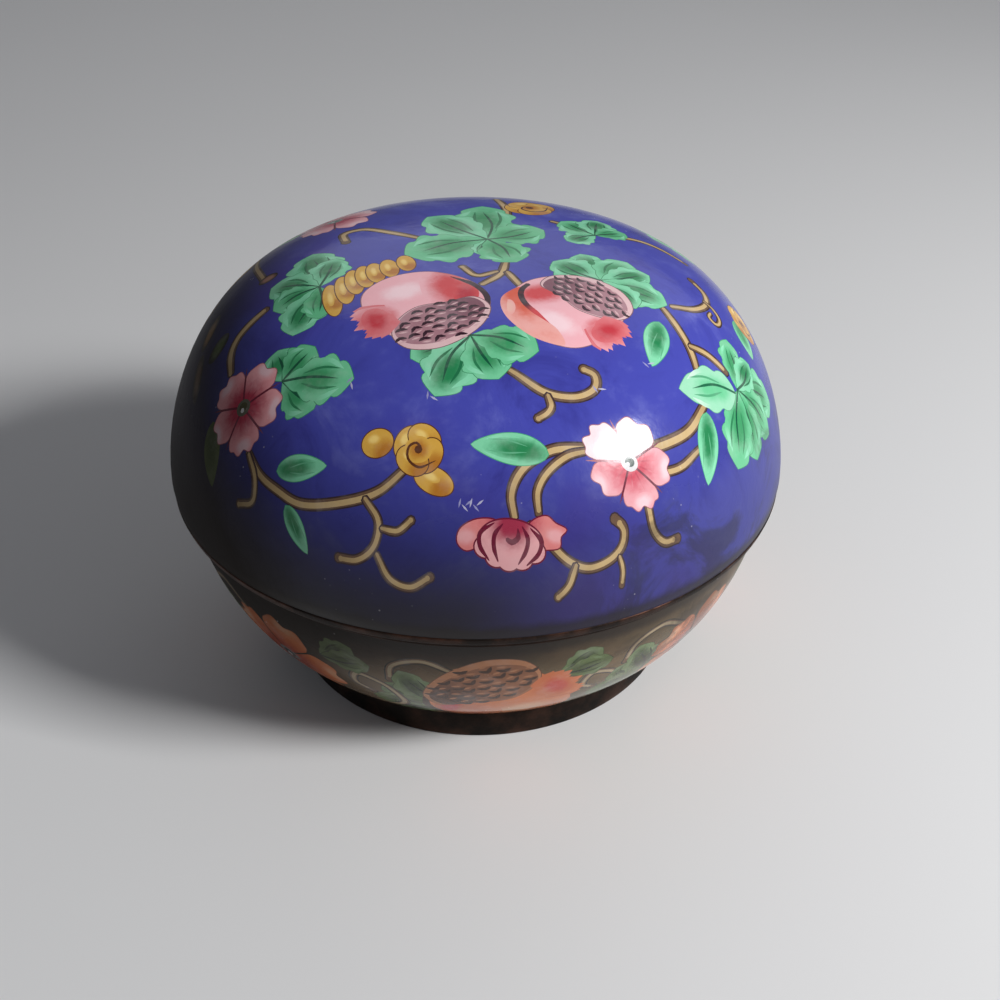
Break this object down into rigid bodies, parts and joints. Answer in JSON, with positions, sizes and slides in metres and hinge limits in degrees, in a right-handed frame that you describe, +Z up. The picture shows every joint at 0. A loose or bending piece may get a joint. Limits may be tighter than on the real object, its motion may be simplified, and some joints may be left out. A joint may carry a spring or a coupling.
{
  "type": "enamel box with a domed lid",
  "caption": "Round enamelled copper box: a domed lid that lifts off a bowl on a foot ring, painted with fruit, blossoms, leaves and tendrils.",
  "frame": {"origin": "on the ground under the centre of the foot ring", "axes": "+Z up through the middle of the lid; -Y is the side that faces the viewer"},
  "size_m": [0.1, 0.1, 0.07],
  "materials": {
    "blue_enamel": "high gloss enamel on copper, deep blue ground with painted fruit, blossoms, leaves and tendrils",
    "olive_enamel": "gloss enamel on copper, olive-brown ground with painted orange fruit and dark leaves",
    "aged_copper": "aged, dark brown copper, a little brighter on its edges"
  },
  "bodies": {
    "root": {"lid": "blue_enamel", "lid_rim": "aged_copper", "bowl": "olive_enamel", "bowl_rim": "aged_copper", "foot_ring": "aged_copper"}
  },
  "joints": []
}
